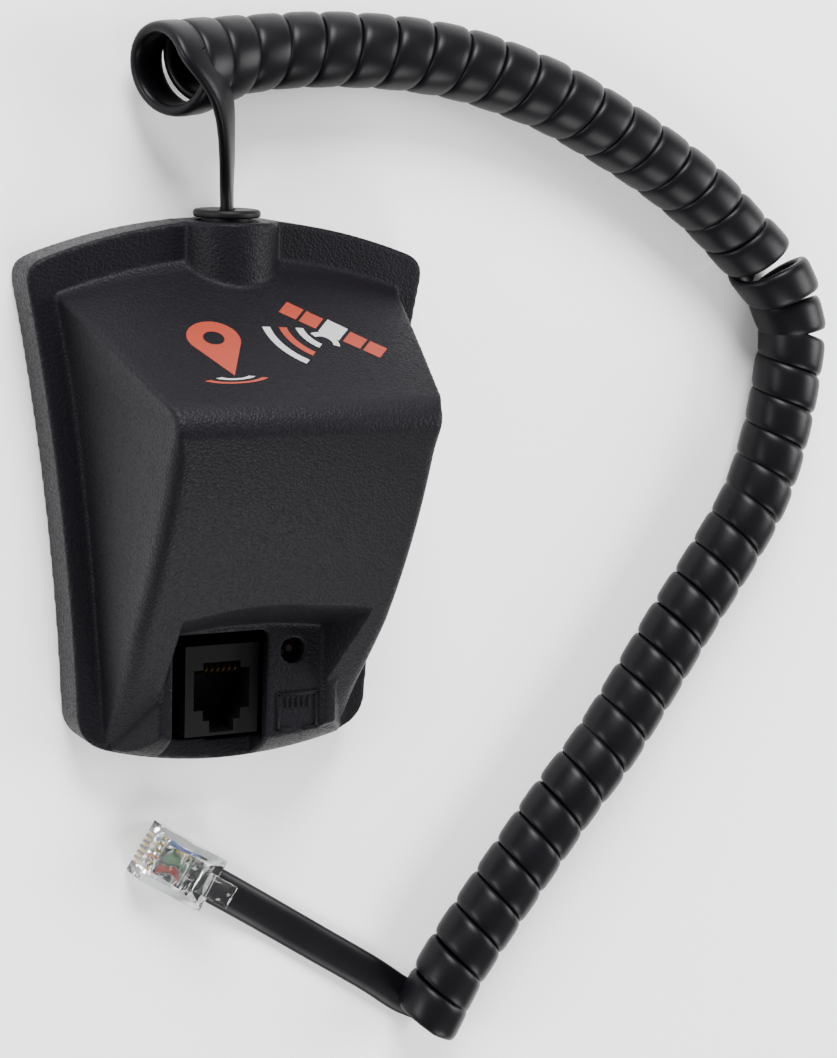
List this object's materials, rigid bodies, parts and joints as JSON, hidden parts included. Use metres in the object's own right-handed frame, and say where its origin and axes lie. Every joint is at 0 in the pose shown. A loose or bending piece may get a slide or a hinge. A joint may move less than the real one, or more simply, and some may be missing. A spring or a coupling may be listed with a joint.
{
  "type": "telescope gps receiver module",
  "caption": "Wedge-shaped satellite receiver module on a flat flange, with a modular jack, an indicator light and a curly flat lead that ends in a clear modular plug.",
  "frame": {"origin": "middle of the module's footprint on the surface that its flat back lies on, cord and plug left out", "axes": "+Y along the module towards the grommet that the lead leaves by, +Z out of the front, +X to the right seen from the front"},
  "size_m": [0.1515, 0.1768, 0.0429],
  "materials": {
    "black_abs": "fine spark-eroded grain, charcoal black",
    "black_rubber": "matte",
    "lead_pvc": "satin black PVC",
    "jack_nylon": "smooth dark grey",
    "clear_polycarbonate": "clear, polished",
    "gold_plate": "gold plated",
    "conductor_wires": "coloured wire insulation",
    "zinc_steel": "zinc plated",
    "tinplate": "tinned",
    "board_laminate": "black solder mask",
    "antenna_ceramic": "sintered ceramic",
    "chip_epoxy": "moulded epoxy",
    "header_nylon": "natural nylon",
    "led_red_lens": "tinted lens",
    "label_film": "blank satin film"
  },
  "bodies": {
    "module_and_cord": {"front_housing": "black_abs", "rear_cover": "black_abs", "cable_grommet": "black_rubber", "cord_lead_in": "lead_pvc", "cord_coil": "lead_pvc", "cord_lead_out": "lead_pvc", "inner_lead": "lead_pvc", "jack_housing": "jack_nylon", "plug_body": "clear_polycarbonate", "plug_contact_1": "gold_plate", "plug_contact_2": "gold_plate", "plug_contact_3": "gold_plate", "plug_contact_4": "gold_plate", "plug_contact_5": "gold_plate", "plug_contact_6": "gold_plate", "antenna_pin": "gold_plate", "plug_conductors": "conductor_wires", "case_screw_1": "zinc_steel", "case_screw_2": "zinc_steel", "case_screw_3": "zinc_steel", "case_screw_4": "zinc_steel", "board_screw_1": "zinc_steel", "board_screw_2": "zinc_steel", "board_screw_3": "zinc_steel", "board_screw_4": "zinc_steel", "backup_cell": "zinc_steel", "antenna_element": "tinplate", "receiver_shield": "tinplate", "crystal": "tinplate", "capacitor_1": "tinplate", "capacitor_2": "tinplate", "capacitor_3": "tinplate", "capacitor_4": "tinplate", "main_board": "board_laminate", "patch_antenna": "antenna_ceramic", "microcontroller": "chip_epoxy", "voltage_regulator": "chip_epoxy", "cell_holder": "chip_epoxy", "led_spacer": "chip_epoxy", "board_header": "header_nylon", "lead_connector": "header_nylon", "status_led": "led_red_lens", "rating_label": "label_film"},
    "latch": {"plug_latch": "clear_polycarbonate"},
    "spring_contacts": {"jack_contact_1": "gold_plate", "jack_contact_2": "gold_plate", "jack_contact_3": "gold_plate", "jack_contact_4": "gold_plate", "jack_contact_5": "gold_plate", "jack_contact_6": "gold_plate"}
  },
  "joints": [
    {"name": "latch_press", "type": "hinge", "parent": "module_and_cord", "child": "latch", "pos_m": [-0.01068, -0.06224, 0.007], "axis": [0.5299, 0.848, 0], "range_deg": [0, 9], "stiffness_Nm_per_rad": 0.02},
    {"name": "contacts_press", "type": "hinge", "parent": "module_and_cord", "child": "spring_contacts", "pos_m": [-0.0029, -0.0288, 0.0136], "axis": [1, 0, 0], "range_deg": [0, 10], "stiffness_Nm_per_rad": 0.01}
  ]
}
